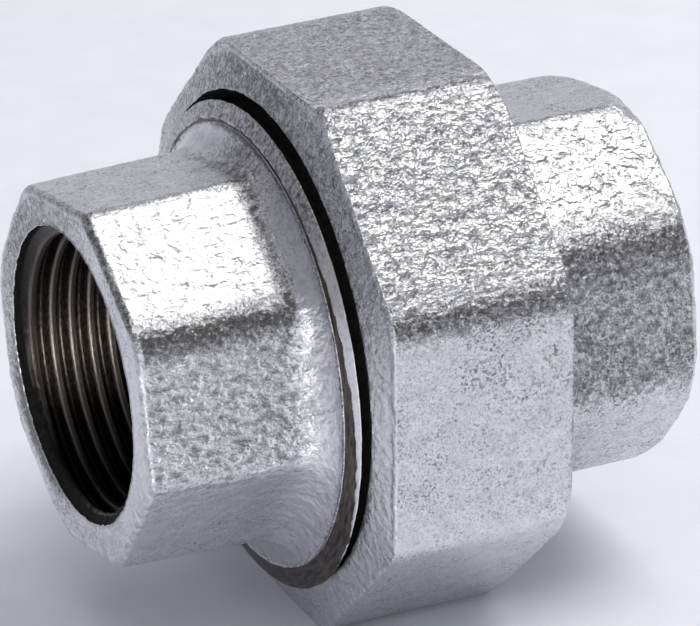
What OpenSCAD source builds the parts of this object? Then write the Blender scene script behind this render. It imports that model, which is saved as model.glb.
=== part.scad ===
// Screwed pipe union with a flat seat, female at both ends, in galvanised malleable iron.
// The pipe axis is X and the origin is at mid-length on it. +Z is the normal of a nut flat.
// A casting's clock angle turns it about the pipe axis, right-handed about +X, with 0 at the nut's flats.

/* [Union] */
// Length over the two end faces
overall_length = 52; // [52:0.5:56]
// Thickness of the flat sealing ring
ring_thickness = 2; // [1.5:0.1:2.4]
// Position along the pipe axis of the body half's seat face
seat_x = -0.5; // [-0.7:0.1:-0.2]

/* [Body half] */
// Width over the octagon's flats at the end face
body_flats_end = 31.1; // [30.6:0.1:32]
// Width over the octagon's flats where the flare begins
body_flats_flare = 32.4; // [32:0.1:33]
// Clock angle of the body half's octagon
body_clock = -9.3; // [-22:0.1:22]
// Radius of the fillet between the octagon and the collar
flare_fillet_r = 3.6; // [2:0.1:4]
// Diameter at the outer edge of the flare
flare_rim_d = 39.8; // [39:0.1:40.5]
// Position along the pipe axis of the collar's back edge
collar_back_x = -8.9; // [-9.2:0.1:-8.6]

/* [Union nut] */
// Width over the nut's flats at the open face
nut_flats_front = 49; // [48.5:0.1:51]
// Width over the nut's flats at the flange face
nut_flats_back = 49.5; // [48.5:0.1:51]
// Position along the pipe axis of the nut's open face
nut_front_x = -7.8; // [-8.1:0.1:-7.4]
// Height of the nut along the pipe axis
nut_height = 16.8; // [15.8:0.1:18]
// Thickness of the inward flange that pulls on the tailpiece
nut_flange = 4; // [3.2:0.1:4.6]
// Diameter of the hole in the flange
nut_flange_hole_d = 36.8; // [36.4:0.1:37.2]

/* [Tailpiece] */
// Width over the octagon's flats at the end face
tail_flats_end = 32.6; // [31.5:0.1:33]
// Width over the octagon's flats at the neck
tail_flats_neck = 33; // [32:0.1:33.2]
// Clock angle of the tailpiece's octagon
tail_clock = -7.7; // [-22:0.1:22]
// Diameter of the round neck inside the flange hole
tail_neck_d = 34.8; // [34:0.1:35.4]
// Diameter of the collar that the nut's flange bears on
tail_collar_d = 40.8; // [40.2:0.1:41]

/* [Pipe sockets] */
// Major diameter of the Rp 3/4 pipe thread
pipe_major_d = 26.441; // [26.441]
// Pitch of the pipe thread, 14 threads to the inch
pipe_pitch = 1.814; // [1.814]
// Depth of full thread from the end face
pipe_thread_depth = 13.5; // [11:0.1:14]
// Depth of the tapping hole from the end face
core_depth = 18; // [17:0.1:18.5]
// Diameter of the waterway between the sockets
waterway_d = 22.8; // [21:0.1:23.4]
// Diameter of the countersink at the mouth
mouth_d = 26.8; // [26.6:0.1:28]

/* [Sealing ring] */
// Inside diameter of the sealing ring
ring_inside_d = 25; // [23.6:0.1:28]
// Outside diameter of the sealing ring
ring_outside_d = 39.4; // [37:0.1:40.4]

/* [Hidden] */
$fn = 96;

// Whitworth form: 55 degrees between flanks, thread depth a fixed share of the pitch
flank = tan(27.5);
depth_share = 0.640327;
// The pipe thread: the tapping hole is at the minor diameter and the crests stop a little short of it
pipe_minor_d = pipe_major_d - 2 * depth_share * pipe_pitch;
pipe_crest_r = pipe_minor_d / 2 + 0.17;
pipe_run_out = 1.7;
// The union thread, G 1 3/8, 11 threads to the inch
union_major_d = 44.323;
union_pitch = 2.309;
union_mean_r = union_major_d / 2 - depth_share * union_pitch / 2;
// Running clearance of the union thread, radial at each crest and axial at each flank
male_crest_r = union_major_d / 2 - 0.11;
male_root_r = male_crest_r - 1.43;
nut_crest_r = male_root_r + 0.18;
nut_root_r = male_crest_r + 0.15;
male_slack = 0.1;
nut_slack = 0.05;
// How far a thread cutter reaches past the surface that it cuts
reach = 0.16;
// Segments in one turn of a thread
turn_steps = 48;
// The first grooves of the two mating threads, counted from the seat face: half a pitch apart, so they mesh
male_start_x = seat_x - 5.5 * union_pitch;
male_turns = 6.5;
nut_start_x = seat_x - 4 * union_pitch;
nut_turns = 4.4;

body_end_x = -overall_length / 2;
tail_end_x = overall_length / 2;
tail_seat_x = seat_x + ring_thickness;
nut_back_x = nut_front_x + nut_height;
flange_x = nut_back_x - nut_flange;
flare_rim_x = collar_back_x - 0.9;
octagon_start_x = nut_back_x + 0.4;
far = 60;
// Length of the recess that the nut's thread runs out into
relief_length = 1.6;
// How far the castings' long corners are bevelled, and how far the end rims' chamfers reach in
edge_trim = 0.2;
end_chamfer = 0.5;
nut_chamfer = 1.1;
corner_share = 1 / cos(22.5);
iron = [0.72, 0.74, 0.76];
bright_iron = [0.80, 0.82, 0.84];
rubber = [0.12, 0.12, 0.13];

// Half the width of a thread groove at radius r; side is 1 for a hole's thread and -1 for a shaft's
function groove_half(r, mean_r, pitch, slack, side) = pitch / 4 + slack - side * flank * (r - mean_r);

// One step of a thread cutter: the near edge lies in the air, the deep edge at the root of the groove
function cutter_section(a, z, air_r, root_r, mean_r, pitch, slack, side) =
    let (w_air = groove_half(air_r, mean_r, pitch, slack, side),
         w_root = groove_half(root_r, mean_r, pitch, slack, side))
    [
        [air_r * cos(a), air_r * sin(a), z - w_air],
        [air_r * cos(a), air_r * sin(a), z + w_air],
        [root_r * cos(a), root_r * sin(a), z + w_root],
        [root_r * cos(a), root_r * sin(a), z - w_root]
    ];

// A right-hand thread cutter about Z, from z0 for some turns, that fades out at its end over fade turns
module thread_cutter(z0, turns, crest_r, root_r, mean_r, pitch, slack, side, fade) {
    air_r = crest_r - side * reach;
    last_r = crest_r - side * reach / 2;
    steps = round(turns * turn_steps);
    faded = max(1, fade * turn_steps);
    sections = [for (i = [0 : steps])
        let (share = min(1, (steps - i) / faded),
             r = last_r + (root_r - last_r) * (fade > 0 ? share : 1))
        cutter_section(
            i * 360 / turn_steps, z0 + pitch * i / turn_steps, air_r, r, mean_r, pitch, slack, side
        )];
    points = [for (s = sections, p = s) p];
    skin = [for (i = [0 : steps - 1], k = [0 : 3])
        let (a = 4 * i + k, b = 4 * i + (k + 1) % 4)
        each [[a, b, b + 4], [a, b + 4, a + 4]]];
    last = 4 * steps;
    ends = [[0, 2, 1], [0, 3, 2], [last, last + 1, last + 2], [last, last + 2, last + 3]];
    faces = concat(skin, ends);
    polyhedron(points, side > 0 ? [for (f = faces) [f[2], f[1], f[0]]] : faces);
}

// Turns a shape built along Z so that it lies along the pipe axis
module along_pipe() {
    rotate([0, 90, 0]) children();
}

// Eight half-spaces to cut away around Z, whose planes stand flats apart at z and lean outwards going up
module octagon_planes(z, flats, lean) {
    for (i = [0 : 7])
        rotate([0, 0, 45 * i])
            translate([flats / 2, 0, z])
                rotate([0, lean, 0])
                    translate([0, -far, -far]) cube(2 * far);
}

// A tapered octagonal bar about Z. Its long corners are bevelled and its end corners chamfered, all in planes
module trimmed_bar(z0, z1, flats0, flats1, trim, chamfer0, chamfer1) {
    lean = atan((flats1 - flats0) / 2 / (z1 - z0));
    corners0 = flats0 * corner_share - 2 * trim;
    corners1 = flats1 * corner_share - 2 * trim;
    difference() {
        translate([0, 0, z0]) cylinder(r = max(flats0, flats1) * 0.6, h = z1 - z0);
        octagon_planes(z0, flats0, lean);
        rotate([0, 0, 22.5]) {
            octagon_planes(z0, corners0, atan((corners1 - corners0) / 2 / (z1 - z0)));
            if (chamfer0 > 0) octagon_planes(z0, corners0 - 2 * chamfer0, 45);
            if (chamfer1 > 0) octagon_planes(z1, corners1 - 2 * chamfer1, -45);
        }
    }
}

// Everything that is cut from a casting to make its pipe socket, with the mouth at z = 0, opening down
module socket_cut() {
    core_r = pipe_minor_d / 2;
    countersink = mouth_d / 2 - core_r;
    translate([0, 0, -1]) cylinder(r = core_r, h = core_depth + 1);
    translate([0, 0, -1]) cylinder(r = pipe_crest_r, h = pipe_thread_depth + pipe_run_out + 1);
    rotate_extrude()
        polygon([[0, -1], [mouth_d / 2 + 1, -1], [core_r - 1, countersink + 1], [0, countersink + 1]]);
    thread_cutter(
        -pipe_pitch, (pipe_thread_depth + pipe_run_out) / pipe_pitch + 0.7, pipe_crest_r, pipe_major_d / 2,
        (pipe_major_d + pipe_minor_d) / 4, pipe_pitch, 0, 1, 0.8
    );
}

// The bore that joins the two sockets
module waterway(z0, z1) {
    translate([0, 0, z0 - 1]) cylinder(d = waterway_d, h = z1 - z0 + 2);
}

// The round end of the body half: a filleted flare, a bevelled back, and a collar that carries the thread
module body_collar() {
    rim_r = flare_rim_d / 2;
    foot_r = rim_r - flare_fillet_r;
    rotate_extrude()
        polygon(concat(
            [[0, flare_rim_x - flare_fillet_r]],
            [for (a = [0 : 10 : 90])
                [rim_r - flare_fillet_r * cos(a), flare_rim_x - flare_fillet_r * (1 - sin(a))]],
            [[male_crest_r - 0.4, collar_back_x - 0.1], [male_crest_r, collar_back_x + 0.25]],
            [[male_crest_r, seat_x - 0.9], [male_crest_r - 1.6, seat_x], [0, seat_x]]
        ));
    translate([0, 0, flare_rim_x - flare_fillet_r - 2]) cylinder(r = foot_r, h = 2);
}

module body_half() {
    color(bright_iron)
        rotate([body_clock, 0, 0]) along_pipe() difference() {
            union() {
                trimmed_bar(
                    body_end_x, flare_rim_x - 0.4, body_flats_end, body_flats_flare,
                    edge_trim, end_chamfer, 0
                );
                body_collar();
            }
            translate([0, 0, body_end_x]) socket_cut();
            waterway(body_end_x + core_depth, seat_x);
            thread_cutter(
                male_start_x, male_turns, male_crest_r, male_root_r,
                union_mean_r, union_pitch, male_slack, -1, 0
            );
        }
}

module sealing_ring() {
    color(rubber)
        along_pipe() translate([0, 0, seat_x]) difference() {
            cylinder(d = ring_outside_d, h = ring_thickness);
            translate([0, 0, -1]) cylinder(d = ring_inside_d, h = ring_thickness + 2);
        }
}

module union_nut() {
    relief_r = nut_root_r + 0.15;
    color(iron)
        along_pipe() difference() {
            trimmed_bar(
                nut_front_x, nut_back_x, nut_flats_front, nut_flats_back,
                edge_trim, nut_chamfer, nut_chamfer
            );
            translate([0, 0, nut_front_x - 1]) cylinder(r = nut_crest_r, h = flange_x - nut_front_x + 1);
            translate([0, 0, nut_front_x - 1]) cylinder(d = nut_flange_hole_d, h = nut_height + 2);
            rotate_extrude()
                polygon([
                    [0, nut_front_x - 1],
                    [nut_root_r + 1, nut_front_x - 1],
                    [nut_crest_r - 1, nut_front_x + nut_root_r - nut_crest_r + 1],
                    [0, nut_front_x + nut_root_r - nut_crest_r + 1]
                ]);
            translate([0, 0, seat_x + 0.1]) cylinder(r = relief_r, h = relief_length);
            rotate([0, 0, body_clock])
                thread_cutter(
                    nut_start_x, nut_turns, nut_crest_r, nut_root_r,
                    union_mean_r, union_pitch, nut_slack, 1, 0
                );
        }
}

module tailpiece() {
    color(iron)
        rotate([tail_clock, 0, 0]) along_pipe() difference() {
            union() {
                translate([0, 0, tail_seat_x]) cylinder(d = tail_collar_d, h = flange_x - tail_seat_x);
                translate([0, 0, flange_x - 1])
                    cylinder(d = tail_neck_d, h = octagon_start_x - flange_x + 1.2);
                trimmed_bar(
                    octagon_start_x, tail_end_x, tail_flats_neck, tail_flats_end,
                    edge_trim, 0, end_chamfer
                );
            }
            translate([0, 0, tail_end_x]) rotate([0, 180, 0]) socket_cut();
            waterway(tail_seat_x, tail_end_x - core_depth);
        }
}

body_half();
sealing_ring();
union_nut();
tailpiece();
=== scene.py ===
import math

import bpy
import numpy as np
from mathutils import Matrix, Vector


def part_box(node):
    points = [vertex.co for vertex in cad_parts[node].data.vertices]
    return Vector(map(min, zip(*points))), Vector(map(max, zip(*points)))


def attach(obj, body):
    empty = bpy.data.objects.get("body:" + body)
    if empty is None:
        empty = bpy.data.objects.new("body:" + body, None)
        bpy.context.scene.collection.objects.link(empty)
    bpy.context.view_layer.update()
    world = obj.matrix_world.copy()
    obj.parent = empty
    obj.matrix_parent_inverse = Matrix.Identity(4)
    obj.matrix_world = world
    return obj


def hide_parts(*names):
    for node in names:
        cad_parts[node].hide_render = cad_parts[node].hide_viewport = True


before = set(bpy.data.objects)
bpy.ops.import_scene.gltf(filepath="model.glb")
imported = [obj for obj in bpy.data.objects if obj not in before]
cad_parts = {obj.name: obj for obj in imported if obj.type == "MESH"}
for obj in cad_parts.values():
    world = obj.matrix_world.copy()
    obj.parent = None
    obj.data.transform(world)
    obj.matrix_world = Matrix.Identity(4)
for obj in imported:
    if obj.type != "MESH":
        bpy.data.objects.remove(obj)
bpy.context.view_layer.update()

# Lengths are in millimetres until a mesh is made. The pipe axis is X, and an angle about it runs
# right-handed from +Z, so that 90 degrees is -Y, the side that faces the camera.
MM = 0.001
CORNER = math.radians(22.5)

# Two 55 degree threads: 3/4 inch pipe in the sockets, and 1 3/8 inch where the nut runs on the body.
# DEPTH_SHARE is such a thread's depth over its pitch.
PITCH_PIPE, MAJOR_PIPE = 1.814, 26.441
PITCH_UNION, MAJOR_UNION = 2.309, 44.323
FLANK = math.tan(math.radians(55 / 2))
DEPTH_SHARE = 0.640327

# The castings' clock angles, with 0 at the nut's flats
BODY_CLOCK = math.radians(-9.3)
TAIL_CLOCK = math.radians(-7.7)


def box_mm(node):
    """The lowest and highest corners of a CAD node, in millimetres."""
    lo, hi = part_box(node)
    return [c / MM for c in lo], [c / MM for c in hi]


body_lo, body_hi = box_mm("body_half")
nut_lo, nut_hi = box_mm("union_nut")
tail_lo, tail_hi = box_mm("tailpiece")
ring_lo, ring_hi = box_mm("sealing_ring")

BODY_END = body_lo[0]
SEAT = body_hi[0]
COLLAR_CREST = body_hi[1]
NUT_FRONT, NUT_BACK = nut_lo[0], nut_hi[0]
TAIL_SEAT, TAIL_END = tail_lo[0], tail_hi[0]
TAIL_COLLAR = tail_hi[1]

# Distances from the axis to the eight flats, from the top one round the camera's side, at each
# casting's -X and +X ends. Each flat grows by its own amount, as castings do.
NUT_GROWTH = (0.1, 0.25, 0.1, 0.3, 0.2, 0.1, 0.1, 0.1)
BODY_GROWTH = (0.0, 0.1, 0.1, 0.0, 0.5, 0.55, 0.55, 0.5)
TAIL_GROWTH = (0.1, 0.15, 0.1, 0.25, 0.1, 0.0, 0.0, 0.0)
NUT_FLATS = [(nut_hi[2] - 0.25 + grow, nut_hi[2] + grow) for grow in NUT_GROWTH]
BODY_FLATS = [(15.6 + grow, 16.25 + grow / 3) for grow in BODY_GROWTH]
TAIL_FLATS = [(16.6 + grow, 16.6 + 1.5 * grow) for grow in TAIL_GROWTH]

FLARE_RIM_X, FLARE_RIM_R = -9.9, 19.9
FLARE_LENGTH = 3.1
COLLAR_BACK, COLLAR_R = -9.05, 21.75
# The turned faces of the collar lie a little below the nut's axis
FLARE_DROP, COLLAR_DROP = 0.6, 0.75
NUT_FLANGE = 4.0
NUT_HOLE_R = 18.4
# The nut's front face stands out at its mouth and falls back at its rim, and its back face stands out
NUT_DISH, NUT_FALL, NUT_CROWN = 0.55, 0.3, 0.25
# Radii of the rounded rims between the end faces and the sides
END_RIM, NUT_BACK_RIM = 0.5, 0.28
# Distances from the axis at which bevels across the corners meet the castings' outer ends
BODY_BEVEL_R, NUT_BEVEL_R, TAIL_BEVEL_R = 16.55, 26.3, 17.1
TAIL_NECK_R = 17.4
WATERWAY_R = 11.4
RING_BORE_R = 12.5
# How deep a socket's thread and its core go, and where its thread would begin if it had no countersink
THREAD_DEPTH, CORE_DEPTH = 13.9, 18.0
THREAD_START = -0.23
MOUTH_R = 13.2
# The part of a countersink that is black with oil and painted shade is this deep
OIL_AND_SHADE_DEPTH = 0.66
# Spacing of the rings along a cast side, and along the two threads that the nut joins
SIDE_STEP = 0.27
MALE_STEP, NUT_STEP = 0.165, 0.19

PIPE_ROOT = MAJOR_PIPE / 2
PIPE_CORE = PIPE_ROOT - DEPTH_SHARE * PITCH_PIPE
PIPE_CREST = PIPE_CORE + 0.1
MALE_CREST = COLLAR_CREST
MALE_ROOT = MALE_CREST - 1.43
# The visible crests are worn back so that the nut's ragged mouth clears them as it unscrews
MALE_LAND = MALE_CREST - 0.27
# The relief groove between the collar and the thread, and where the old oil and painted shade on the
# threads end
GROOVE_R = MALE_ROOT - 0.5
OIL_AND_SHADE_TO_X = NUT_FRONT + 1.5
# The nut's thread clears the body's by these amounts
NUT_CREST = MALE_ROOT + 0.18
NUT_ROOT = MALE_CREST + 0.15
UNION_MEAN = MAJOR_UNION / 2 - DEPTH_SHARE * PITCH_UNION / 2

# Seeds of the noise that makes each ragged mouth
BODY_MOUTH, TAIL_MOUTH = 70, 75


# ---------------------------------------------------------------- noise

def lattice(ix, iy, iz, seed):
    """A fixed pseudo-random value from 0 to 1 at each point of a whole-number grid."""
    h = (ix * 374761393 + iy * 668265263 + iz * 2147483647 + seed * 1274126177) & 0xFFFFFFFF
    h = ((h ^ (h >> 13)) * 1274126177) & 0xFFFFFFFF
    h = ((h ^ (h >> 16)) * 2246822519) & 0xFFFFFFFF
    return ((h ^ (h >> 15)) & 0xFFFFFF) / float(0xFFFFFF)


def noise(p, size, seed):
    """Smooth noise from -1 to 1 with features of the given size, which may differ along X, Y and Z."""
    q = p / np.asarray(size, float) + 1000.0
    i = np.floor(q).astype(np.int64)
    f = q - i
    w = f * f * f * (f * (f * 6 - 15) + 10)
    out = 0
    for dx in (0, 1):
        for dy in (0, 1):
            for dz in (0, 1):
                share = (
                    (w[..., 0] if dx else 1 - w[..., 0])
                    * (w[..., 1] if dy else 1 - w[..., 1])
                    * (w[..., 2] if dz else 1 - w[..., 2])
                )
                out = out + share * lattice(i[..., 0] + dx, i[..., 1] + dy, i[..., 2] + dz, seed)
    return 2 * out - 1


def smooth_step(x):
    x = np.clip(x, 0, 1)
    return x * x * (3 - 2 * x)


def smooth_max(a, b, k):
    """The larger of a and b, with the crease between them rounded over k."""
    h = np.clip(0.5 + 0.5 * (a - b) / k, 0, 1)
    return b + (a - b) * h + k * h * (1 - h)


# ---------------------------------------------------------------- outlines

def octagon(angle, apothems, sharpness):
    """Radius at each angle of a cast octagon: rounded corners and crowned flats, the first at angle 0.

    apothems holds the distance to each of the eight flats. A larger sharpness gives smaller corner radii.
    """
    total = 0
    mean = sum(apothems) / 8
    for k, apothem in enumerate(apothems):
        toward = np.maximum(np.cos(angle - k * 2 * CORNER), 0)
        total = total + (toward * mean / apothem) ** sharpness
    return mean * total ** (-1 / sharpness)


def tapered(angle, flats, share, sharpness):
    """A cast octagon at a share of the way from its flats' -X ends to their +X ends."""
    return octagon(angle, [near + (far - near) * share for near, far in flats], sharpness)


def around(angle, values, clock=0.0, width=0.30):
    """Eight values, one for each flat, by angle. They change over a short arc at the corners."""
    step = 2 * CORNER
    place = ((angle - clock) / step) % 8
    k = np.floor(place).astype(int)
    share = smooth_step((place - k - 0.5) / width + 0.5)
    v = np.asarray(values, float)
    return v[k % 8] * (1 - share) + v[(k + 1) % 8] * share


def bell(angle, centre_deg, width_deg):
    """A smooth rise to 1 around one direction about the axis."""
    off = (angle - math.radians(centre_deg) + math.pi) % (2 * math.pi) - math.pi
    return np.exp(-((off / math.radians(width_deg)) ** 2))


def lower_of(a, b, k):
    """The smaller of a and b, with the crease between them rounded over k."""
    return -smooth_max(-a, -b, k)


def thread(x, angle, start_x, pitch, mean_r, crest_r, root_r, slack):
    """A right-hand thread whose groove passes start_x at angle 0.

    Returns its radius, and a share that is 1 on a crest.
    """
    side = 1 if root_r > crest_r else -1
    turn = (x - start_x) / pitch - angle / (2 * math.pi)
    d = np.abs(turn - np.round(turn)) * pitch
    half_crest = pitch / 4 + slack - side * FLANK * (crest_r - mean_r)
    half_root = pitch / 4 + slack - side * FLANK * (root_r - mean_r)
    depth = np.clip((half_crest - d) / (half_crest - half_root), 0, 1)
    depth = 0.75 * smooth_step(depth) + 0.25 * depth
    return crest_r + (root_r - crest_r) * depth, 1 - smooth_step(depth / 0.22)


class Profile:
    """Rings of points along a closed section, from which a casting's skin is made."""

    def __init__(self, columns):
        self.angle = np.arange(columns) * 2 * math.pi / columns
        self.x, self.r, self.zone = [], [], []
        self.layers = {"rough": [], "wrinkle": [], "soot_and_shade": [], "crest": [], "kept": []}

    def ring(self, x, r, zone, rough=0.0, wrinkle=0.2, soot_and_shade=0.3, crest=0.0, kept=0.0):
        """Adds one ring at x, of radius r. Each value is one number, or one for each angle."""
        self.x.append(np.broadcast_to(x, self.angle.shape).astype(float))
        self.r.append(np.broadcast_to(r, self.angle.shape).astype(float))
        self.zone.append(zone)
        values = {"rough": rough, "wrinkle": wrinkle, "soot_and_shade": soot_and_shade, "crest": crest, "kept": kept}
        for name, value in values.items():
            self.layers[name].append(np.broadcast_to(value, self.angle.shape).astype(float))

    def points(self):
        """The skin before it is bumped: a row of points for each ring."""
        x, r = np.array(self.x), np.array(self.r)
        return np.stack([x, -r * np.sin(self.angle), r * np.cos(self.angle)], -1)


def grid_normals(p):
    """Outward or inward normals of a grid that closes on itself both ways."""
    along = np.roll(p, -1, 0) - np.roll(p, 1, 0)
    round_ = np.roll(p, -1, 1) - np.roll(p, 1, 1)
    n = np.cross(along, round_)
    return n / np.maximum(np.linalg.norm(n, axis=-1, keepdims=True), 1e-9)


def quad_corners(grid):
    """The four corners of each quad of a grid that closes on itself both ways."""
    below = np.roll(grid, -1, 0)
    return grid, below, np.roll(below, -1, 1), np.roll(grid, -1, 1)


def signed_volume(p):
    """The volume that a closed grid of points holds, negative where it is wound inside out."""
    a, b, c, d = quad_corners(p)
    halves = np.cross(b, c) + np.cross(c, d)
    return np.einsum("...i,...i", a, halves).sum() / 6


def skin_height(p, seed, stretch):
    """The cast skin's bumps: slow lumps, puffed pebbles with creases between them, and grain."""
    s = np.asarray(stretch, float)
    lumps = noise(p, 2.6 * s, seed)
    pebbles = 2 * np.abs(noise(p, 1.3 * s, seed + 1)) - 0.6
    grain = noise(p, 0.62 * s, seed + 2)
    return 0.25 * lumps + 0.45 * pebbles + 0.45 * grain


def grid_mesh(name, p, inside_out):
    """A smooth mesh of quads from a grid of points in millimetres that closes on itself both ways."""
    rows, cols = p.shape[:2]
    quads = np.stack(quad_corners(np.arange(rows * cols).reshape(rows, cols)), -1)
    if inside_out:
        quads = quads[..., ::-1]
    quads = quads.reshape(-1, 4)
    mesh = bpy.data.meshes.new(name)
    mesh.vertices.add(rows * cols)
    mesh.vertices.foreach_set("co", (p * MM).astype(np.float32).ravel())
    mesh.loops.add(len(quads) * 4)
    mesh.loops.foreach_set("vertex_index", quads.astype(np.int32).ravel())
    mesh.polygons.add(len(quads))
    mesh.polygons.foreach_set("loop_start", np.arange(0, len(quads) * 4, 4, dtype=np.int32))
    mesh.polygons.foreach_set("use_smooth", np.ones(len(quads), bool))
    mesh.update(calc_edges=True)
    return mesh


def build(name, profile, materials, body, node, slot, seed, stretch=(1, 1, 1)):
    """Makes a piece from a profile: bumps its cast zones, and gives each zone its material."""
    p = profile.points()
    inside_out = signed_volume(p) < 0
    outward = -grid_normals(p) if inside_out else grid_normals(p)
    layers = {label: np.array(values) for label, values in profile.layers.items()}
    rough = layers.pop("rough")
    waves = noise(p, 7.0, seed + 5)
    rise = rough * skin_height(p, seed, stretch) + 0.35 * np.minimum(rough, 0.2) * waves
    p = p + outward * rise[..., None]
    mesh = grid_mesh(name, p, inside_out)
    zones = list(materials)
    index = np.repeat([zones.index(zone) for zone in profile.zone], len(profile.angle))
    mesh.polygons.foreach_set("material_index", index.astype(np.int32))
    for zone in zones:
        mesh.materials.append(materials[zone])
    for label, values in layers.items():
        layer = mesh.attributes.new(label, "FLOAT", "POINT")
        layer.data.foreach_set("value", values.astype(np.float32).ravel())
    piece = bpy.data.objects.new(name, mesh)
    bpy.context.scene.collection.objects.link(piece)
    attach(piece, body)
    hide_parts(node)
    return piece


# ---------------------------------------------------------------- shared stretches of profile

def jagged(angle, amount, size_mm, seed):
    """A ragged edge around a circle of about 20 mm radius."""
    ring = np.stack([np.zeros_like(angle), np.sin(angle) * 20, np.cos(angle) * 20], -1)
    return amount * (noise(ring, size_mm, seed) + 0.5 * noise(ring, size_mm * 0.4, seed + 1))


def mouth_edge(angle, seed):
    """Radius at which a socket's countersink breaks out of the end face."""
    return MOUTH_R - 0.25 * np.sin(angle) - 0.1 * np.cos(angle) + jagged(angle, 0.07, 0.9, seed)


def socket_rings(profile, end_x, way, clock, seed, lean=0.0):
    """The inside of a pipe socket from its mouth inwards. way is +1 if it opens to -X and -1 if to +X.

    lean is how far the end face stands beyond end_x at each angle.
    """
    start_angle = math.pi + clock if way > 0 else clock
    turned = way * (profile.angle - start_angle)
    edge = mouth_edge(profile.angle, seed)
    mean = (PIPE_ROOT + PIPE_CORE) / 2
    # a lighter stretch of the wall from the first turn inwards, a painted highlight where the wall
    # mirrors the bright floor
    lighter = bell(profile.angle, 253, 24)
    # the wall is also darker towards the bottom
    lower_dark = 0.9 * bell(profile.angle, 190, 38)
    rings = []
    for depth, kept in ((0.02, 1.0), (0.08, 0.6), (0.14, 0.2)):
        rings.append((end_x + way * depth, edge - 0.5 * depth, "rim", 0.0, 0.0, kept))
    first = 0.2
    depth = first
    # 14 rings a turn where the camera sees them, and fewer further in
    fine = PITCH_PIPE / 14
    while depth < THREAD_DEPTH + 1.3:
        r, crest = thread(depth, turned, THREAD_START, PITCH_PIPE, mean, PIPE_CREST, PIPE_ROOT, 0)
        fade = smooth_step((THREAD_DEPTH + 1.2 - depth) / 1.4)
        r = PIPE_CREST + (r - PIPE_CREST) * fade
        # grime and painted shade, darkest at the mouth and lifted along the painted highlight
        dirt_and_sheen = 1.35 - (0.35 + 0.85 * lighter) * smooth_step((depth - 0.9) / 0.6) + lower_dark
        sink = edge - 0.07 - 1.8 * (depth - first)
        burr = np.exp(-((r - sink) / 0.07) ** 2)
        crest = np.maximum(crest * (r >= sink), 0.8 * burr)
        zone = "oil_and_shade" if depth < OIL_AND_SHADE_DEPTH else "thread"
        rings.append((end_x + way * depth, np.maximum(r, sink), zone, dirt_and_sheen, crest, 0.0))
        depth += fine if depth < 6 * PITCH_PIPE else 1.6 * fine
    for depth in np.linspace(THREAD_DEPTH + 1.4, CORE_DEPTH, 6):
        rings.append((end_x + way * depth, PIPE_CORE, "bore", 0.0, 0.0, 0.0))
    rings.append((end_x + way * (CORE_DEPTH + 0.1), WATERWAY_R, "bore", 0.0, 0.0, 0.0))
    if way > 0:
        rings.reverse()
    for x, r, zone, soot_and_shade, crest, kept in rings:
        stay = max(0.0, 1 - abs(x - end_x) / 2)
        profile.ring(x + lean * stay, r, zone, soot_and_shade=soot_and_shade, crest=crest, kept=kept)


def end_face(profile, end_x, way, outline, seed):
    """A casting's end face, from the mouth out to where its rounded rim meets the sides.

    Returns the x, radius, roughness and wrinkle of each ring.
    """
    rings = []
    inner = mouth_edge(profile.angle, seed) + 0.04
    for t in np.linspace(0, 1, 9):
        x = end_x + way * 0.08 * (1 - t) ** 4
        rings.append((x, inner + (outline(end_x) - END_RIM - inner) * t, 0.02, 0.28))
    for turn in np.radians((3, 18, 36, 54, 72, 87, 90)):
        x = end_x + way * END_RIM * (1 - math.cos(turn))
        r = outline(x) - END_RIM + END_RIM * math.sin(turn)
        rings.append((x, r, 0.04 + 0.08 * math.sin(2 * turn), 0.45))
    return rings


# ---------------------------------------------------------------- the pieces

def body_end_face(skin, local, outline, lean):
    """The body's end face, with grime on its far side and a smudge low on that side."""
    face_soot = around(local, (1.4, 0.7, 0.2, 0.3, 0.4, 0.8, 1.1, 1.5), 0.0, 0.9)
    rim_soot = around(local, (1.1, 1.6, 0.3, 0.0, 0.3, 0.5, 0.5, 0.5), 0.0, 0.4)
    smudge = 2.4 * bell(skin.angle, 222, 30)
    for i, (x, r, rough, wrinkle) in enumerate(end_face(skin, BODY_END, 1, outline, BODY_MOUTH)):
        on_face = i < 8
        grime = face_soot + smudge * max(0.0, 1 - i / 6)
        skin.ring(x + lean, r, "zinc", rough, wrinkle, grime if on_face else rim_soot)


def body_flare(skin, local, flared, rim_r, rough, wrinkle, soot_and_shade):
    """The swelling from the flats to the collar, smoother than the flats, with a ragged edge."""
    # painted shade in the hollow beyond the end of the bright flat
    shade = around(local, (0.6, 1.3, 0.0, 0.0, 0.0, 0.3, 0.3, 0.6))
    swell = around(local, (0.2, 0.3, 0.45, 0.3, 0.2, 0.2, 0.2, 0.2))
    # a painted shadow on top of the swelling, beside the collar
    painted_shadow = 1.5 * bell(local, 14, 20)
    for t in np.radians(np.linspace(0, 89, 26)):
        x = FLARE_RIM_X - FLARE_LENGTH * (1 - math.sin(t))
        cast = smooth_step((FLARE_RIM_X - 0.9 - x) / 2.2)
        dark = soot_and_shade * cast + painted_shadow * (1 - cast) + shade * (1 - (2 * cast - 1) ** 2)
        dark = dark + 1.2 * smooth_step((t - 1.3) / 0.25)
        bumpy = 0.03 + (rough - 0.03) * cast
        folded = swell + (wrinkle - swell) * cast
        skin.ring(x, flared(x), "zinc", bumpy, folded, dark)
    burr = jagged(skin.angle, 0.05, 0.8, 15)
    skin.ring(FLARE_RIM_X - 0.03, rim_r - 0.10 + burr, "zinc", 0.0, 0.2, 1.4)
    skin.ring(FLARE_RIM_X + 0.03, rim_r - 0.02 + burr, "zinc", 0.0, 0.2, 1.6)
    skin.ring(FLARE_RIM_X + 0.13, rim_r - 0.04 + 0.5 * burr, "bevel")


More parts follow.
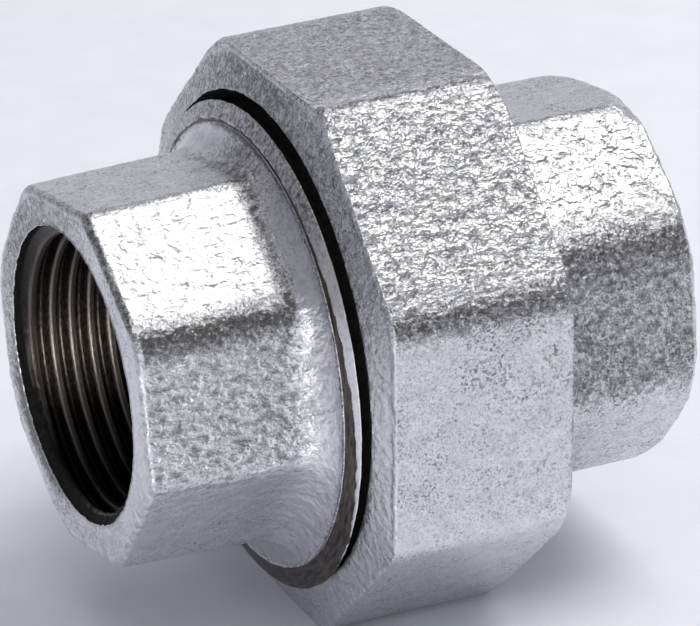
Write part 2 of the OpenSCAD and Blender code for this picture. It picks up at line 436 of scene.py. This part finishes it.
def body_collar(skin, rim_r):
    """The collar's bevel, turned bright at the bottom and still cast at the top, and its back, black with
    old oil and painted shade.
    """
    angle = skin.angle
    away = np.abs((angle + math.pi) % (2 * math.pi) - math.pi) / math.radians(146)
    edge = 0.10 + 0.95 * smooth_step(away) ** 1.6 + jagged(angle, 0.06, 0.9, 21)
    collar_r = COLLAR_R - COLLAR_DROP * np.cos(angle) + jagged(angle, 0.04, 0.8, 23)
    inner_x, inner_r = FLARE_RIM_X + 0.16, rim_r + 0.02
    # painted shade: away from the camera's side the kept zinc is painted dark and speckled, where the
    # bevel mirrors the dim back
    band_shade = 1 - smooth_step((np.sin(angle) - 0.55) / 0.35)
    for q in np.linspace(0.0, 1, 20):
        kept = smooth_step((q - edge) / 0.06 + 0.5)
        x = inner_x + (COLLAR_BACK - inner_x) * q - 0.14 * kept
        r = inner_r + (collar_r - inner_r) * q + 0.05 * kept
        skin.ring(x, r, "bevel", 0.03 * kept, soot_and_shade=band_shade, kept=kept)
    for q in (0.1, 0.4, 0.7, 1.0):
        skin.ring(COLLAR_BACK + 0.15 * q, collar_r + (GROOVE_R - collar_r) * q, "oil_and_shade")


def body_thread(skin):
    """The thread that the nut runs on, from the relief groove to a lead-in bevel at the seat."""
    start = SEAT - 5.5 * PITCH_UNION
    turned = skin.angle - math.pi - BODY_CLOCK
    for x in np.arange(COLLAR_BACK + 0.25, SEAT - 0.05, MALE_STEP):
        r, crest = thread(x, turned, start, PITCH_UNION, UNION_MEAN, MALE_LAND, MALE_ROOT, 0.1)
        r = np.minimum(r, GROOVE_R + 0.9 * max(0.0, x - NUT_FRONT - 0.2))
        lead = MALE_CREST - 1.78 * max(0.0, x - (SEAT - 0.9))
        skin.ring(x, np.minimum(r, lead), "oil_and_shade" if x < OIL_AND_SHADE_TO_X else "thread", crest=crest)


def body_half(materials):
    """The socket that the camera looks into, with its flats, flare, collar and outer thread."""
    skin = Profile(400)
    angle = skin.angle
    local = angle - BODY_CLOCK
    sharp = around(local, (110, 38, 60, 60, 40, 40, 40, 60), CORNER, 0.9)
    flare_start = FLARE_RIM_X - FLARE_LENGTH - 0.6 * np.sin(angle - math.radians(35))
    rim_r = FLARE_RIM_R - FLARE_DROP * np.cos(angle)

    def outline(x):
        r = tapered(local, BODY_FLATS, (x - BODY_END) / (FLARE_RIM_X - BODY_END), sharp)
        return lower_of(r, BODY_BEVEL_R + (x - BODY_END), 0.3)

    def flared(x):
        """The octagon swells into the collar's round rim along a quarter of an ellipse."""
        share = np.clip((x - flare_start) / (FLARE_RIM_X - flare_start), 0, 1)
        side = outline(x)
        return side + (rim_r - side) * (1 - np.sqrt(1 - share**2))

    # the end face leans a little, and stands out furthest on the far upper side
    lean = -0.18 * (1 - np.sin(angle - math.radians(20)))
    rough = around(local, (0.03, 0.05, 0.11, 0.02, 0.04, 0.05, 0.05, 0.04))
    wrinkle = around(local, (0.25, 0.5, 1.0, 0.2, 0.3, 0.4, 0.4, 0.4))
    # the last terms darken the corner below the top flat, and paint shade along the corner below the
    # bright one, where it mirrors the dark gap between the lamps
    soot_and_shade = around(local, (0.7, 0.0, 0.4, 0.3, 0.3, 0.5, 0.5, 0.5)) + 0.9 * bell(local, 22, 1.3)
    soot_and_shade = soot_and_shade + 1.5 * bell(local, 67, 5.2) + 0.4 * bell(local, 71, 8)
    body_end_face(skin, local, outline, lean)
    for x in np.arange(BODY_END + END_RIM + 0.15, FLARE_RIM_X - FLARE_LENGTH - 0.05, SIDE_STEP):
        stay = max(0.0, 1 - (x - BODY_END) / 2)
        skin.ring(x + lean * stay, flared(x), "zinc", rough, wrinkle, soot_and_shade)
    body_flare(skin, local, flared, rim_r, rough, wrinkle, soot_and_shade)
    body_collar(skin, rim_r)
    body_thread(skin)
    for r in np.linspace(MALE_ROOT - 0.2, WATERWAY_R + 0.3, 8):
        skin.ring(SEAT, r, "machined")
    for x in np.linspace(SEAT - 0.3, BODY_END + CORE_DEPTH + 0.3, 10):
        skin.ring(x, WATERWAY_R, "bore")
    socket_rings(skin, BODY_END, 1, BODY_CLOCK, BODY_MOUTH, lean)
    bumps = {"seed": 100, "stretch": (1.25, 0.8, 0.8)}
    slot = "galvanised_body"
    return build("body_half_casting", skin, materials, "body_half", "body_half", slot, **bumps)


def nut_front_face(skin, outline, mouth):
    """The nut's front face, standing out at its mouth, and the rounded rim around it."""
    front = outline(NUT_FRONT)
    soot_and_shade = around(skin.angle, (1.5, 1.1, 0.0, 0.1, 0.5, 0.6, 0.7, 1.3), 0.0, 0.9)
    skin.ring(NUT_FRONT - NUT_DISH + 0.02, mouth, "zinc", 0.0, 0.3, soot_and_shade)
    for t in np.concatenate([(0.02,), np.linspace(0.08, 1, 12)]):
        x = NUT_FRONT - NUT_DISH + (NUT_DISH + NUT_FALL) * t
        skin.ring(x, mouth + (front - END_RIM - mouth) * t, "zinc", 0.03 * t, 0.3, soot_and_shade)
    for turn in np.radians((4, 18, 36, 54, 72, 86, 90)):
        x = NUT_FRONT + NUT_FALL + (END_RIM - NUT_FALL) * (1 - math.cos(turn))
        r = outline(x) - END_RIM + END_RIM * math.sin(turn)
        skin.ring(x, r, "zinc", 0.04 + 0.09 * math.sin(2 * turn), 0.45, 0.6 * soot_and_shade)


def nut_back_face(skin, outline, soot_and_shade):
    """The rounded rim at the nut's back, and its back face down to the flange's hole."""
    for turn in np.radians((0, 4, 22, 45, 67, 90)):
        x = NUT_BACK + NUT_CROWN - NUT_BACK_RIM * (1 - math.sin(turn))
        r = outline(x) - NUT_BACK_RIM + NUT_BACK_RIM * math.cos(turn)
        skin.ring(x, r, "zinc", 0.035, 0.4, soot_and_shade + 1.2 * math.sin(turn))
    back = outline(NUT_BACK) - NUT_BACK_RIM
    for t in np.linspace(0.1, 1, 14):
        skin.ring(NUT_BACK + NUT_CROWN * (1 - t), back + (NUT_HOLE_R + 0.3 - back) * t, "zinc", 0.03, 0.5)


def nut_inside(skin, mouth):
    """The flange's hole and shoulder, the clearance behind the seat, and the thread out to the mouth."""
    flange = NUT_BACK - NUT_FLANGE
    for x in np.linspace(NUT_BACK - 0.3, flange + 0.2, 8):
        skin.ring(x, NUT_HOLE_R, "machined", 0.01)
    for r in np.linspace(NUT_HOLE_R + 0.2, NUT_CREST - 0.05, 5):
        skin.ring(flange, r, "machined")
    for x in np.linspace(flange - 0.1, SEAT + 1.8, 5):
        skin.ring(x, NUT_CREST, "bore")
    for x in np.linspace(SEAT + 1.7, SEAT + 0.1, 5):
        skin.ring(x, NUT_ROOT + 0.15, "bore")
    start = SEAT - 4 * PITCH_UNION
    turned = skin.angle - math.pi - BODY_CLOCK
    for x in np.arange(SEAT, NUT_FRONT - NUT_DISH + 0.15, -NUT_STEP):
        r, crest = thread(x, turned, start, PITCH_UNION, UNION_MEAN, NUT_CREST, NUT_ROOT, 0.05)
        sink = mouth - (x - NUT_FRONT + NUT_DISH - 0.1)
        skin.ring(x, np.maximum(r, sink), "oil_and_shade" if x < OIL_AND_SHADE_TO_X else "thread", crest=crest)


def union_nut(materials):
    """The octagonal nut, whose flange pulls the tailpiece onto the body's seat."""
    skin = Profile(640)
    angle = skin.angle
    sharp = around(angle, (95, 42, 50, 60, 60, 45, 40, 45), CORNER, 0.9)
    front_cap = around(angle, (25.5, 25.6, 26.0, 26.0, 25.5, 25.3, 25.2, 25.2), 0.0, 0.9)

    def outline(x):
        r = tapered(angle, NUT_FLATS, (x - NUT_FRONT) / (NUT_BACK - NUT_FRONT), sharp)
        r = lower_of(r, front_cap + 1.1 * (x - NUT_FRONT), 0.35)
        return lower_of(r, NUT_BEVEL_R + (NUT_BACK - x), 0.3)

    mouth = NUT_ROOT - 0.3 + jagged(angle, 0.06, 0.8, 33)
    rough = around(angle, (0.03, 0.16, 0.02, 0.015, 0.03, 0.05, 0.06, 0.03))
    wrinkle = around(angle, (0.3, 1.0, 0.15, 0.15, 0.2, 0.3, 0.4, 0.2))
    # the last terms paint shade along the corner below the bright flat, where it mirrors the dark gap
    # between the lamps, and darken the corner above it
    soot_and_shade = around(angle, (1.25, 0.15, 0.65, 0.45, 0.6, 0.6, 0.6, 0.8))
    soot_and_shade = soot_and_shade + 1.3 * bell(angle, 66.5, 3.8) + 0.9 * bell(angle, 22, 0.8)
    nut_front_face(skin, outline, mouth)
    for x in np.arange(NUT_FRONT + END_RIM + 0.15, NUT_BACK + NUT_CROWN - NUT_BACK_RIM, SIDE_STEP):
        skin.ring(x, outline(x), "zinc", rough, wrinkle, soot_and_shade)
    nut_back_face(skin, outline, soot_and_shade)
    nut_inside(skin, mouth)
    bumps = {"seed": 200, "stretch": (1.3, 0.75, 0.75)}
    return build("union_nut_casting", skin, materials, "nut", "union_nut", "galvanised_nut", **bumps)


def tail_collar(skin):
    """The tailpiece's seat, the collar that the nut's flange pulls on, and the neck through the nut."""
    flange = NUT_BACK - NUT_FLANGE
    for r in np.linspace(WATERWAY_R + 0.3, TAIL_COLLAR - 0.4, 9):
        skin.ring(TAIL_SEAT, r, "machined")
    for x in np.linspace(TAIL_SEAT + 0.3, flange - 0.3, 8):
        skin.ring(x, TAIL_COLLAR, "machined", 0.01)
    for r in np.linspace(TAIL_COLLAR - 0.3, TAIL_NECK_R + 0.4, 6):
        skin.ring(flange, r, "machined")
    for x in np.linspace(flange + 0.35, NUT_BACK + 0.2, 12):
        skin.ring(x, TAIL_NECK_R, "zinc", 0.01)


def tailpiece(materials):
    """The casting that comes out of the nut's back, with the second socket."""
    skin = Profile(400)
    local = skin.angle - TAIL_CLOCK
    # the lower corner on the camera's side is much rounder than the others
    sharp = around(local, (80, 34, 24, 26, 40, 40, 40, 60), CORNER, 0.9)

    def outline(x):
        r = tapered(local, TAIL_FLATS, (x - NUT_BACK) / (TAIL_END - NUT_BACK), sharp)
        return lower_of(r, TAIL_BEVEL_R + 0.45 * (TAIL_END - x), 0.3)

    tail_collar(skin)
    rough = around(local, (0.02, 0.09, 0.12, 0.04, 0.04, 0.05, 0.05, 0.04))
    wrinkle = around(local, (0.2, 0.85, 1.1, 0.3, 0.3, 0.4, 0.4, 0.4))
    # the flat below the bright one is darker with grime and a painted shadow of the nut, and a bell
    # paints shade along the corner below the bright flat, where it mirrors the dark gap between the lamps
    soot_and_shade = around(local, (0.7, 0.1, 1.3, 0.8, 0.5, 0.5, 0.5, 0.5)) + 1.2 * bell(local, 64, 7)
    # a darker line along the corner above the bright flat
    soot_and_shade = soot_and_shade + 0.9 * bell(local, 22, 1.3)
    for x in np.arange(NUT_BACK + 0.45, TAIL_END - END_RIM, SIDE_STEP):
        blend = smooth_step((x - NUT_BACK - 0.3) / 0.9)
        r = TAIL_NECK_R + (outline(x) - TAIL_NECK_R) * blend
        skin.ring(x, r, "zinc", rough * blend, wrinkle, soot_and_shade)
    for ring in reversed(end_face(skin, TAIL_END, -1, outline, TAIL_MOUTH)):
        x, r, face_rough, face_wrinkle = ring
        skin.ring(x, r, "zinc", face_rough, face_wrinkle)
    socket_rings(skin, TAIL_END, -1, TAIL_CLOCK, TAIL_MOUTH)
    for x in np.linspace(TAIL_END - CORE_DEPTH - 0.3, TAIL_SEAT + 0.3, 8):
        skin.ring(x, WATERWAY_R, "bore")
    return build("tailpiece_casting", skin, materials, "tail", "tailpiece", "galvanised_tail", seed=300)


def sealing_ring(material):
    """The flat rubber ring between the seats, in section a rectangle with rounded corners."""
    skin = Profile(160)
    edge = 0.25
    x0, x1 = ring_lo[0], ring_hi[0]
    inner, outer = RING_BORE_R + edge, ring_hi[1] - edge

    def face(x, first_r, last_r):
        for r in np.linspace(first_r, last_r, 8):
            skin.ring(x, r, "rubber")

    def corner(x, r, *degrees):
        for turn in np.radians(degrees):
            skin.ring(x + edge * math.cos(turn), r + edge * math.sin(turn), "rubber")

    face(x0, inner, outer)
    corner(x0 + edge, outer, 150, 120, 90)
    corner(x1 - edge, outer, 90, 60, 30)
    face(x1, outer, inner)
    corner(x1 - edge, inner, -30, -60, -90)
    corner(x0 + edge, inner, -90, -120, -150)
    rubber = {"rubber": material}
    return build("sealing_ring_rubber", skin, rubber, "ring", "sealing_ring", "ring_rubber", seed=400)


# ---------------------------------------------------------------- materials

class Nodes:
    """A material's node tree, with short ways to add and join nodes."""

    def __init__(self, name):
        self.material = bpy.data.materials.new(name)
        self.material.use_nodes = True
        self.tree = self.material.node_tree
        self.shader = self.tree.nodes["Principled BSDF"]
        self.place = self.add("ShaderNodeTexCoord").outputs["Object"]

    def add(self, kind, **settings):
        node = self.tree.nodes.new(kind)
        for key, value in settings.items():
            setattr(node, key, value)
        return node

    def join(self, value, socket):
        if isinstance(value, bpy.types.NodeSocket):
            self.tree.links.new(value, socket)
        else:
            socket.default_value = value

    def attribute(self, name):
        return self.add("ShaderNodeAttribute", attribute_name=name).outputs["Fac"]

    def scaled(self, stretch):
        node = self.add("ShaderNodeMapping")
        self.tree.links.new(self.place, node.inputs["Vector"])
        node.inputs["Scale"].default_value = stretch
        return node.outputs["Vector"]

    def noise(self, size_mm, detail=2.0, roughness=0.5, stretch=(1, 1, 1)):
        node = self.add("ShaderNodeTexNoise")
        self.tree.links.new(self.scaled(stretch), node.inputs["Vector"])
        node.inputs["Scale"].default_value = 1 / (size_mm * MM)
        node.inputs["Detail"].default_value = detail
        node.inputs["Roughness"].default_value = roughness
        return node.outputs["Fac"]

    def ramp(self, value, *stops):
        node = self.add("ShaderNodeValToRGB")
        elements = node.color_ramp.elements
        while len(elements) < len(stops):
            elements.new(0.5)
        for element, (position, colour) in zip(elements, stops):
            element.position = position
            grey = (colour,) * 3 if isinstance(colour, (int, float)) else colour
            element.color = (*grey, 1)
        self.tree.links.new(value, node.inputs["Fac"])
        return node.outputs["Color"]

    def math(self, operation, *values):
        node = self.add("ShaderNodeMath", operation=operation)
        for value, socket in zip(values, node.inputs):
            self.join(value, socket)
        return node.outputs[0]

    def mix(self, share, a, b, blend="MIX"):
        node = self.add("ShaderNodeMix", data_type="RGBA", blend_type=blend)
        self.join(share, node.inputs["Factor"])
        self.join(a if isinstance(a, bpy.types.NodeSocket) else (*a, 1), node.inputs[6])
        self.join(b if isinstance(b, bpy.types.NodeSocket) else (*b, 1), node.inputs[7])
        return node.outputs[2]

    def bump(self, height, depth_mm, strength=1.0, under=None):
        node = self.add("ShaderNodeBump")
        node.inputs["Distance"].default_value = depth_mm * MM
        self.join(strength, node.inputs["Strength"])
        self.tree.links.new(height, node.inputs["Height"])
        if under is not None:
            self.tree.links.new(under, node.inputs["Normal"])
        return node.outputs["Normal"]

    def finish(self, colour, metallic, roughness, normal):
        self.join(colour, self.shader.inputs["Base Color"])
        self.join(metallic, self.shader.inputs["Metallic"])
        self.join(roughness, self.shader.inputs["Roughness"])
        self.tree.links.new(normal, self.shader.inputs["Normal"])
        return self.material


def zinc_material(name, size_mm, stretch, relief_mm):
    """Hot-dip zinc on a cast skin: folded where the mesh says so, grainy and specked everywhere."""
    n = Nodes(name)
    wrinkle = n.attribute("wrinkle")
    patch = n.math("SUBTRACT", n.noise(0.5, 3, 0.7), 0.5)
    # the soot layer, made patchy: grime, and painted shade at corners and hollows
    soot_and_shade = n.math("MULTIPLY", n.attribute("soot_and_shade"), n.math("MULTIPLY_ADD", patch, 2.0, 1.0))
    folds = n.noise(size_mm, 2.6, 0.52, stretch)
    grain = n.noise(0.19, 3, 0.65)
    tone = n.ramp(n.noise(1.6, 5, 0.7), (0.32, (0.70, 0.71, 0.75)), (0.62, (0.82, 0.825, 0.85)))
    # painted shade in the creases of the folds
    crease_shade = n.math("MULTIPLY", n.ramp(folds, (0.34, 1.0), (0.50, 0.0)), n.math("MULTIPLY", wrinkle, 0.65))
    colour = n.mix(crease_shade, tone, (0.20, 0.20, 0.20))
    dull = n.ramp(grain, (0.38, 1.0), (0.54, 0.0))
    # grime and painted shade from the soot layer dull the grain
    dulling = n.math("ADD", 0.06, n.math("MULTIPLY", soot_and_shade, 0.45))
    colour = n.mix(n.math("MULTIPLY", dull, dulling), colour, (0.17, 0.17, 0.195))
    patches = n.ramp(n.noise(2.6, 3, 0.6), (0.40, 0.15), (0.62, 1.0))
    specks = n.math("MULTIPLY", n.ramp(n.noise(0.28, 2, 0.6), (0.54, 0.0), (0.61, 1.0)), patches)
    specks = n.math("MULTIPLY", specks, n.math("MINIMUM", n.math("ADD", 0.2, soot_and_shade), 1.0))
    colour = n.mix(n.math("MULTIPLY", specks, 0.85), colour, (0.12, 0.115, 0.11))
    # where the soot layer passes 1 the colour goes dark grey: heavy grime, and painted shade along
    # corners and hollows
    colour = n.mix(n.math("SUBTRACT", soot_and_shade, 1.0), colour, (0.14, 0.14, 0.14))
    roughness = n.math("ADD", 0.25, n.math("MULTIPLY", n.noise(1.3, 2), 0.14))
    roughness = n.math("ADD", roughness, n.math("MULTIPLY", wrinkle, 0.06))
    normal = n.bump(grain, 0.08, n.math("MINIMUM", n.math("ADD", 0.3, soot_and_shade), 0.95))
    normal = n.bump(folds, relief_mm, wrinkle, normal)
    normal = n.bump(n.math("MULTIPLY", specks, -1.0), 0.05, 0.6, normal)
    return n.finish(colour, 0.95, roughness, normal)


def machined_material():
    """Cut iron left without zinc: dark, oily brown-black, with fine turning marks."""
    n = Nodes("machined_iron")
    marks = n.noise(0.12, 2, 0.5, (1, 0.05, 0.05))
    tone = n.ramp(n.noise(1.1, 3, 0.65), (0.3, (0.060, 0.050, 0.045)), (0.75, (0.17, 0.145, 0.13)))
    colour = n.mix(n.math("MULTIPLY", marks, 0.3), tone, (0.26, 0.23, 0.21))
    roughness = n.math("ADD", 0.3, n.math("MULTIPLY", marks, 0.2))
    return n.finish(colour, 0.85, roughness, n.bump(marks, 0.03, 0.5))


def thread_material():
    """Cut thread: oiled flanks with fine cutting marks, burnished crests, and black grime mixed with
    painted shade, lighter where the mesh paints a highlight.
    """
    n = Nodes("cut_thread")
    soot_and_shade = n.attribute("soot_and_shade")
    streaks = n.noise(0.16, 3, 0.65, (1.6, 0.3, 0.3))
    flank = n.ramp(streaks, (0.35, (0.10, 0.088, 0.08)), (0.70, (0.42, 0.37, 0.33)))
    crest = n.ramp(streaks, (0.32, (0.30, 0.26, 0.23)), (0.68, (0.75, 0.66, 0.58)))
    colour = n.mix(n.attribute("crest"), flank, crest)
    grime = n.ramp(streaks, (0.35, (0.010, 0.009, 0.008)), (0.75, (0.050, 0.042, 0.037)))
    crest_grime = n.mix(n.attribute("crest"), grime, (0.23, 0.20, 0.18))
    # the soot layer darkens the thread with grime and painted shade, and past 1 to black
    colour = n.mix(soot_and_shade, colour, crest_grime)
    colour = n.mix(n.math("SUBTRACT", soot_and_shade, 1.0), colour, (0.004, 0.004, 0.004))
    roughness = n.math("ADD", 0.20, n.math("MULTIPLY", streaks, 0.26))
    return n.finish(colour, 0.85, roughness, n.bump(streaks, 0.05, 0.6))


def oil_and_shade_material():
    """The countersinks, and the hollow between the collar and the nut: matt black with old thread oil and
    painted shade.
    """
    n = Nodes("oil_and_shade_recess")
    n.shader.inputs["Specular IOR Level"].default_value = 0.08
    grime = n.noise(0.5, 3, 0.6)
    tone = n.ramp(grime, (0.35, (0.006, 0.006, 0.006)), (0.75, (0.02, 0.018, 0.016)))
    roughness = n.math("ADD", 0.5, n.math("MULTIPLY", grime, 0.3))
    return n.finish(tone, 0.0, roughness, n.bump(grime, 0.05, 0.5))


def bore_material():
    """The cast waterway: rough, grey-black."""
    n = Nodes("cast_bore")
    grain = n.noise(0.6, 3, 0.6)
    tone = n.ramp(grain, (0.3, (0.05, 0.05, 0.052)), (0.7, (0.20, 0.20, 0.21)))
    roughness = n.math("ADD", 0.5, n.math("MULTIPLY", grain, 0.2))
    return n.finish(tone, 0.6, roughness, n.bump(grain, 0.15, 0.8))


def half_cut_material(name, mark_size):
    """Turned iron with a ragged remnant of zinc where the mesh says that cast skin was kept."""
    n = Nodes(name)
    ragged = n.math("MULTIPLY", n.math("SUBTRACT", n.noise(0.35, 3, 0.6), 0.5), 1.6)
    kept = n.ramp(n.math("ADD", n.attribute("kept"), ragged), (0.42, 0.0), (0.5, 1.0))
    marks = n.noise(mark_size, 2, 0.5, (1, 0.06, 0.06))
    iron = n.ramp(marks, (0.3, (0.035, 0.030, 0.027)), (0.75, (0.20, 0.170, 0.152)))
    speckled = n.ramp(n.noise(0.4, 4, 0.7), (0.36, (0.10, 0.10, 0.10)), (0.60, (0.62, 0.62, 0.64)))
    lighter = n.ramp(n.noise(0.5, 4, 0.7), (0.34, (0.70, 0.70, 0.71)), (0.50, (0.90, 0.90, 0.91)))
    # the soot layer turns the zinc dark and speckled: painted shade on the collar's bevel away from the
    # camera
    zinc = n.mix(n.attribute("soot_and_shade"), lighter, speckled)
    roughness = n.math("ADD", 0.26, n.math("MULTIPLY", marks, 0.16))
    normal = n.bump(n.noise(0.25, 3), 0.05, 0.6)
    return n.finish(n.mix(kept, iron, zinc), 0.9, roughness, n.bump(kept, 0.08, 0.8, normal))


def rubber_material():
    """Sealing ring rubber: matt black with a fine moulded grain and a dusting of bloom."""
    n = Nodes("ring_rubber")
    grain = n.noise(0.25, 3, 0.6)
    tone = n.ramp(n.noise(2.0, 3), (0.3, (0.018, 0.018, 0.019)), (0.75, (0.045, 0.045, 0.047)))
    roughness = n.math("ADD", 0.55, n.math("MULTIPLY", grain, 0.2))
    return n.finish(tone, 0.0, roughness, n.bump(grain, 0.03, 0.4))


def floor_material():
    """The pale bluish paper that the photograph was taken on."""
    n = Nodes("studio_floor")
    grain = n.noise(6.0, 2)
    tone = n.ramp(grain, (0.3, (0.71, 0.72, 0.785)), (0.7, (0.74, 0.75, 0.815)))
    return n.finish(tone, 0.0, 0.7, n.bump(grain, 0.02, 0.1))


# ---------------------------------------------------------------- stage

def aimed(kind_object, place, target):
    """Points a lamp or camera at a place."""
    kind_object.location = place
    kind_object.rotation_euler = (Vector(target) - Vector(place)).to_track_quat("-Z", "Y").to_euler()
    bpy.context.scene.collection.objects.link(kind_object)


def softbox(name, place, size, radiance, target=(0, 0, 0), colour=(1, 1, 1), mirrored=True):
    """A lamp at a place in metres. One that isn't mirrored gives light but shows in no reflection."""
    lamp = bpy.data.lights.new(name, "AREA")
    lamp.shape = "RECTANGLE"
    lamp.size, lamp.size_y = size
    lamp.energy = radiance * math.pi * size[0] * size[1]
    lamp.color = colour
    light = bpy.data.objects.new(name, lamp)
    light.visible_glossy = mirrored
    light.visible_camera = False
    aimed(light, place, target)


def studio_world():
    """A dim grey studio as reflections see it: brighter low behind, with one dark flag low in front."""
    world = bpy.data.worlds.new("studio")
    world.use_nodes = True
    tree = world.node_tree
    direction = tree.nodes.new("ShaderNodeTexCoord").outputs["Generated"]

    def lobe(toward, edge, full, level):
        """A level that fades in around one direction, between two cosines."""
        dot = tree.nodes.new("ShaderNodeVectorMath")
        dot.operation = "DOT_PRODUCT"
        dot.inputs[1].default_value = Vector(toward).normalized()
        tree.links.new(direction, dot.inputs[0])
        fade = tree.nodes.new("ShaderNodeMapRange")
        fade.interpolation_type = "SMOOTHSTEP"
        for name, value in (("From Min", edge), ("From Max", full), ("To Min", 0.0), ("To Max", level)):
            fade.inputs[name].default_value = value
        tree.links.new(dot.outputs["Value"], fade.inputs["Value"])
        return fade.outputs["Result"]

    def sum_of(a, b):
        add = tree.nodes.new("ShaderNodeMath")
        tree.links.new(a, add.inputs[0])
        if isinstance(b, float):
            add.inputs[1].default_value = b
        else:
            tree.links.new(b, add.inputs[1])
        return add.outputs[0]

    behind = lobe((0.45, 0.88, 0.15), 0.45, 0.98, 0.42)
    flag = lobe((0.36, -0.87, 0.33), 0.70, 0.93, -0.22)
    level = sum_of(sum_of(behind, flag), 0.27)
    tinted = tree.nodes.new("ShaderNodeMix")
    tinted.data_type = "RGBA"
    tree.links.new(level, tinted.inputs["Factor"])
    tinted.inputs[6].default_value = (0, 0, 0, 1)
    tinted.inputs[7].default_value = (0.97, 0.97, 1.05, 1)
    seen = tree.nodes.new("ShaderNodeLightPath").outputs["Is Camera Ray"]
    mix = tree.nodes.new("ShaderNodeMix")
    mix.data_type = "RGBA"
    tree.links.new(seen, mix.inputs["Factor"])
    tree.links.new(tinted.outputs[2], mix.inputs[6])
    mix.inputs[7].default_value = (0.74, 0.75, 0.77, 1)
    tree.links.new(mix.outputs[2], tree.nodes["Background"].inputs["Color"])
    bpy.context.scene.world = world


def stage():
    """The floor that the nut rests on, the dim studio around it and its three lamps."""
    floor = bpy.data.meshes.new("floor")
    half = 3.0
    z = nut_lo[2] * MM
    corners = [(-half, -half, z), (half, -half, z), (half, half, z), (-half, half, z)]
    floor.from_pydata(corners, [], [(0, 1, 2, 3)])
    floor.materials.append(floor_material())
    floor_object = bpy.data.objects.new("floor", floor)
    bpy.context.scene.collection.objects.link(floor_object)
    studio_world()
    softbox("key", (0.315, -0.0475, 0.55), (0.47, 0.265), 6.2, (0.315, -0.0476, 0), (1.0, 0.99, 0.95))
    softbox("fill", (0.2, -0.2, 1.6), (2.4, 2.4), 1.05, mirrored=False)
    softbox("strip", (-0.24, -0.42, 0.05), (0.20, 0.18), 5.0)
    bpy.context.scene.view_settings.view_transform = "Standard"


def camera():
    """The photograph's viewing angle, from the left and above, with a long lens."""
    azimuth, elevation, roll = math.radians(-25.57), math.radians(24.88), math.radians(-0.5)
    distance = 0.353
    aim = Vector((0.0003, 0.0, 0.0004))
    back = Vector((
        math.sin(azimuth) * math.cos(elevation),
        -math.cos(azimuth) * math.cos(elevation),
        math.sin(elevation),
    ))
    lens = bpy.data.cameras.new("camera")
    lens.sensor_width = 36
    lens.lens = 205.7
    lens.clip_start = 0.01
    view = bpy.data.objects.new("camera", lens)
    view.location = aim + back * distance
    facing = (-back).to_track_quat("-Z", "Y").to_matrix()
    view.rotation_euler = (facing @ Matrix.Rotation(roll, 3, "Z")).to_euler()
    bpy.context.scene.collection.objects.link(view)
    bpy.context.scene.camera = view


SHARED = {
    "rim": half_cut_material("mouth_rim", 0.2),
    "bevel": half_cut_material("collar_bevel", 0.1),
    "machined": machined_material(),
    "thread": thread_material(),
    "oil_and_shade": oil_and_shade_material(),
    "bore": bore_material(),
}
body_half({"zinc": zinc_material("body_zinc", 0.75, (0.7, 1, 1), 0.55), **SHARED})
union_nut({"zinc": zinc_material("nut_zinc", 0.7, (0.7, 1, 1), 0.72), **SHARED})
tailpiece({"zinc": zinc_material("tail_zinc", 0.85, (0.9, 1, 1), 0.56), **SHARED})
sealing_ring(rubber_material())
stage()
camera()
